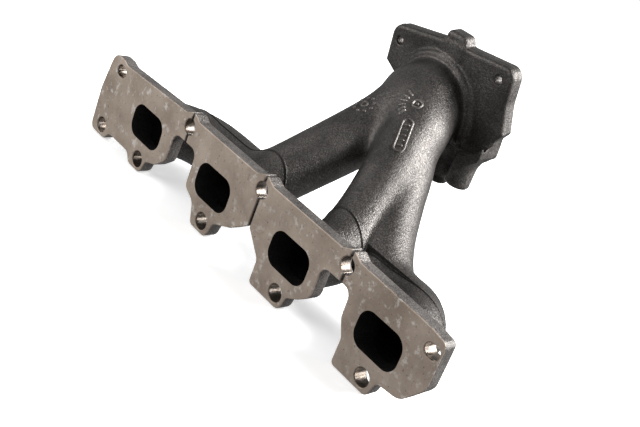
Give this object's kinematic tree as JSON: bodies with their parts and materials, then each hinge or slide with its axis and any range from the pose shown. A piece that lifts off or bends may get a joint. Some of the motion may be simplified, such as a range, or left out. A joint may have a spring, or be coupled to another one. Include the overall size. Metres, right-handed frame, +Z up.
{
  "type": "exhaust manifold",
  "caption": "Cast iron exhaust manifold: a slotted row of port pads, curved runners merging in pairs, and a tilted outlet flange with bosses.",
  "frame": {"origin": "middle of the row of port centres, on the machined face that meets the cylinder head", "axes": "+X along the port row from port 1 to port 4, +Y away from the cylinder head, +Z up in the plane of the head face"},
  "size_m": [0.3673, 0.1667, 0.1747],
  "materials": {
    "machined_iron": "machined face, lightly stained",
    "cast_iron": "as-cast, fine sand texture"
  },
  "bodies": {
    "root": {"head_flange_1": "machined_iron", "head_flange_2": "machined_iron", "head_flange_3": "machined_iron", "head_flange_4": "machined_iron", "runner_1": "cast_iron", "runner_2": "cast_iron", "runner_3": "cast_iron", "runner_4": "cast_iron", "left_branch": "cast_iron", "right_branch": "cast_iron", "fork_web": "cast_iron", "collector": "cast_iron", "outlet_collar": "cast_iron", "outlet_flange": "cast_iron", "locating_tab": "cast_iron", "lower_lug": "cast_iron", "front_boss": "cast_iron", "rear_boss": "cast_iron"}
  },
  "joints": []
}
